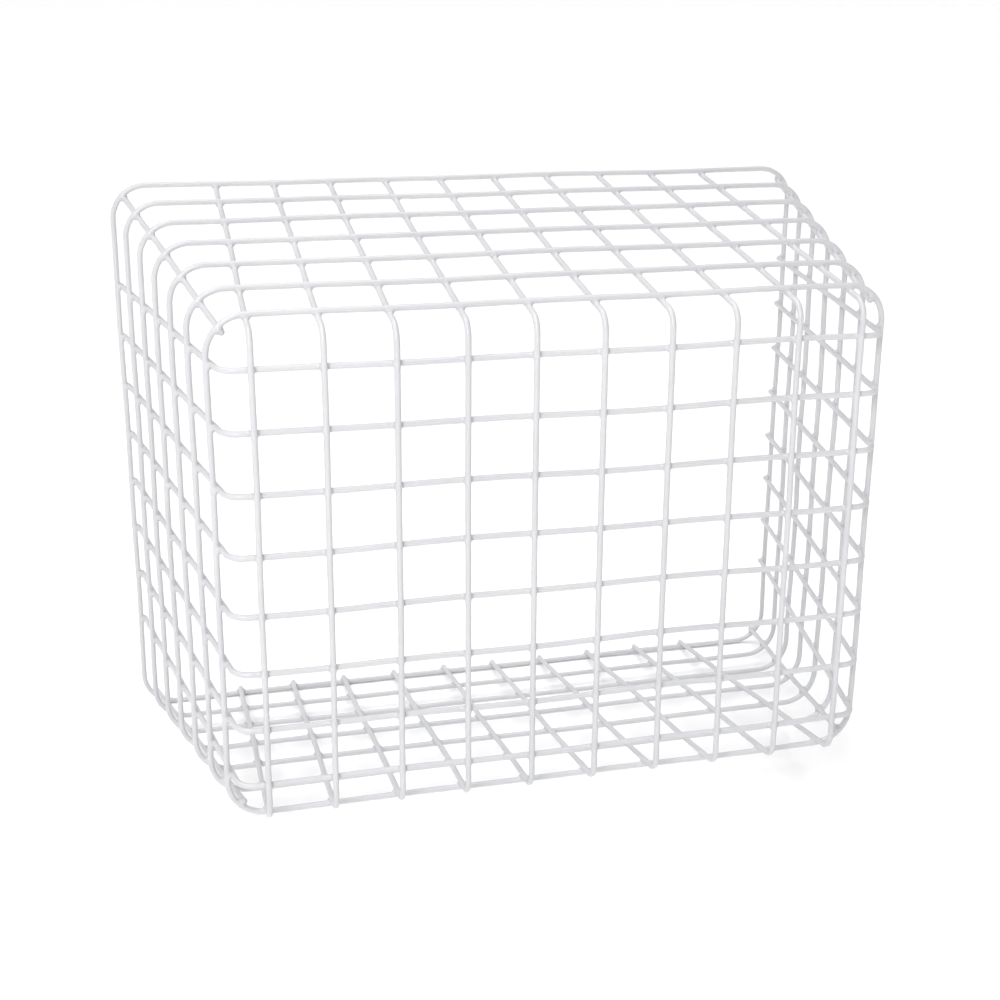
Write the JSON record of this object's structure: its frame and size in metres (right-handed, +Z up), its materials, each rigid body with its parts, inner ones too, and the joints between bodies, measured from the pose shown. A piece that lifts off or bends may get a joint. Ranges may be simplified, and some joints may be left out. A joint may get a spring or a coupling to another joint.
{
  "type": "welded wire basket",
  "caption": "Coated welded-wire basket with rounded corners, sides that widen towards one open side, and a square mesh all round.",
  "frame": {"origin": "centre of the basket's footprint at the height of its lowest wire", "axes": "+Z up, -Y towards the closed front face, +Y out of the open side, +X to the right seen from the front"},
  "size_m": [0.5056, 0.2658, 0.3945],
  "materials": {
    "coated_wire": "steel wire under a white, semi-gloss plastic coating"
  },
  "bodies": {
    "root": {"ring_1": "coated_wire", "ring_2": "coated_wire", "ring_3": "coated_wire", "ring_4": "coated_wire", "ring_5": "coated_wire", "ring_6": "coated_wire", "ring_7": "coated_wire", "upright_wire_1": "coated_wire", "upright_wire_2": "coated_wire", "upright_wire_3": "coated_wire", "upright_wire_4": "coated_wire", "upright_wire_5": "coated_wire", "upright_wire_6": "coated_wire", "upright_wire_7": "coated_wire", "upright_wire_8": "coated_wire", "upright_wire_9": "coated_wire", "upright_wire_10": "coated_wire", "cross_wire_1": "coated_wire", "cross_wire_2": "coated_wire", "cross_wire_3": "coated_wire", "cross_wire_4": "coated_wire", "cross_wire_5": "coated_wire", "cross_wire_6": "coated_wire", "cross_wire_7": "coated_wire", "cross_wire_8": "coated_wire", "corner_wire_upper_right": "coated_wire", "corner_wire_upper_left": "coated_wire", "corner_wire_lower_left": "coated_wire", "corner_wire_lower_right": "coated_wire"}
  },
  "joints": []
}
